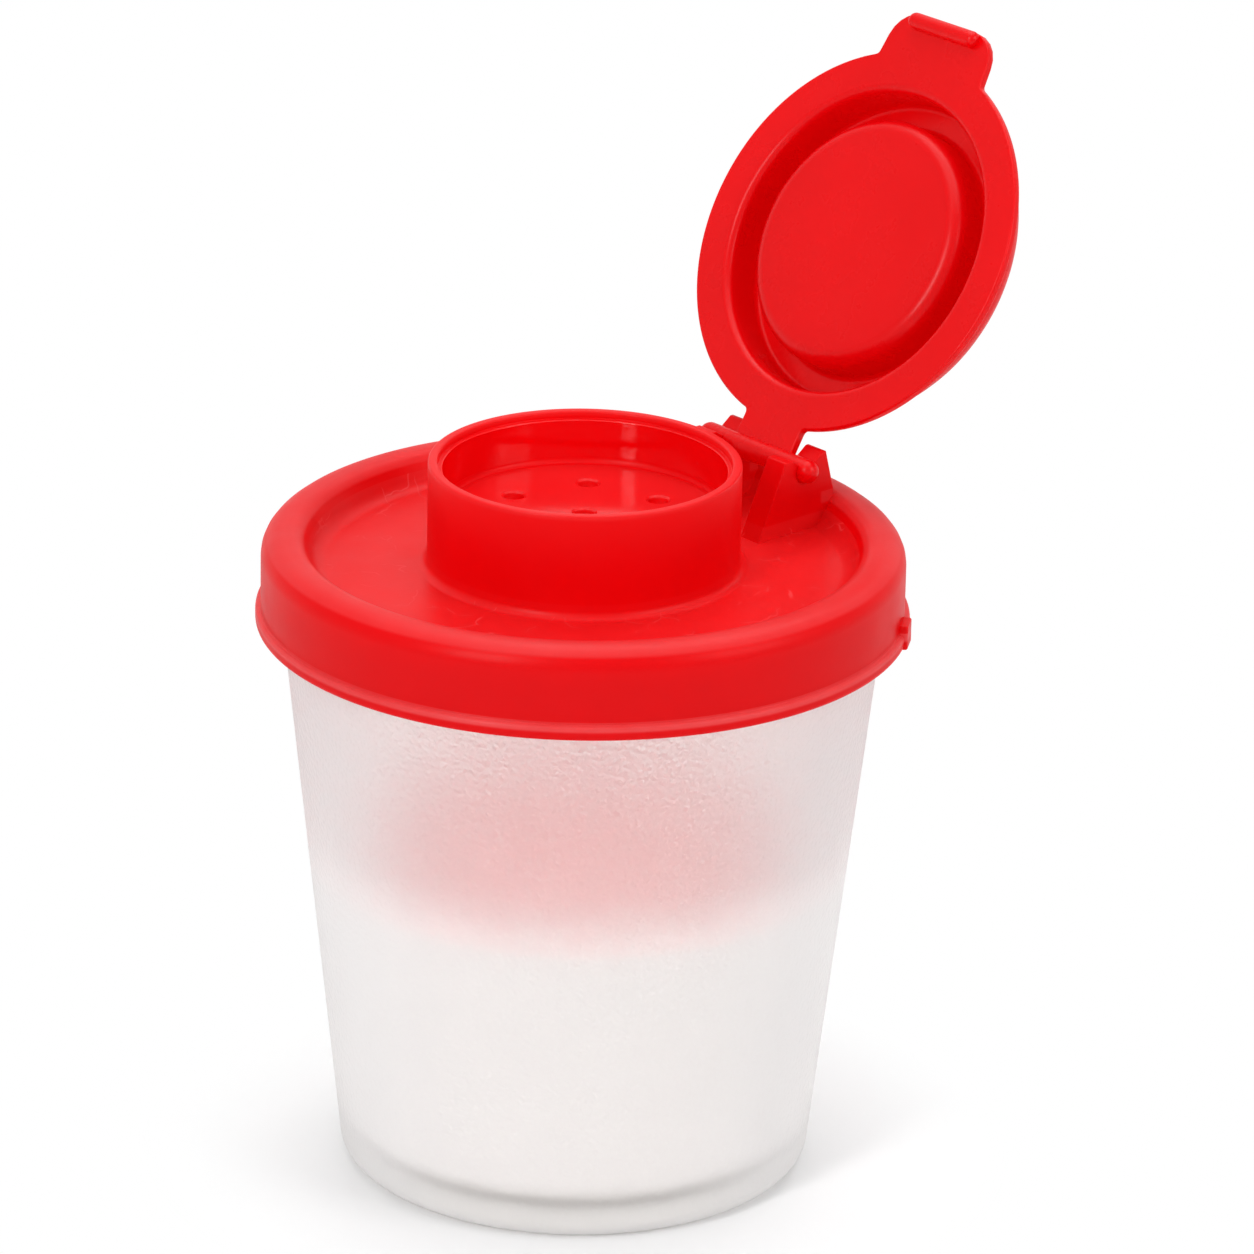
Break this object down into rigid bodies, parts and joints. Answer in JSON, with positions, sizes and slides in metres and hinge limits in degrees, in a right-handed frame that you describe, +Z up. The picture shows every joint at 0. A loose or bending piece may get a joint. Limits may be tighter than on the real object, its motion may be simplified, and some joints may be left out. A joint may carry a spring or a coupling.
{
  "type": "flip-top salt shaker",
  "caption": "Small tapered salt shaker with a push-on lid, a raised collar around a sifter and a hinged flip cap with a thumb tab.",
  "frame": {"origin": "centre of the foot ring, on the surface that the shaker stands on", "axes": "+Z up along the cup's axis, +Y towards the hinge, -Y towards the thumb tab of the closed cap, +X along the hinge pin"},
  "size_m": [0.0548, 0.0688, 0.0928],
  "materials": {
    "milky_plastic": "satin",
    "red_plastic": "gloss",
    "salt": "matte"
  },
  "bodies": {
    "cup": {"cup": "milky_plastic", "salt_fill": "salt"},
    "lid": {"lid": "red_plastic"},
    "flip_cap": {"flip_cap": "red_plastic"}
  },
  "joints": [
    {"name": "lid_lift", "type": "slide", "parent": "cup", "child": "lid", "axis": [0, 0, 1], "range_m": [0, 0.015]},
    {"name": "flip_cap_hinge", "type": "hinge", "parent": "lid", "child": "flip_cap", "pos_m": [0, 0.0198, 0.0585], "axis": [-1, 0, 0], "range_deg": [-121.6, 42]}
  ]
}
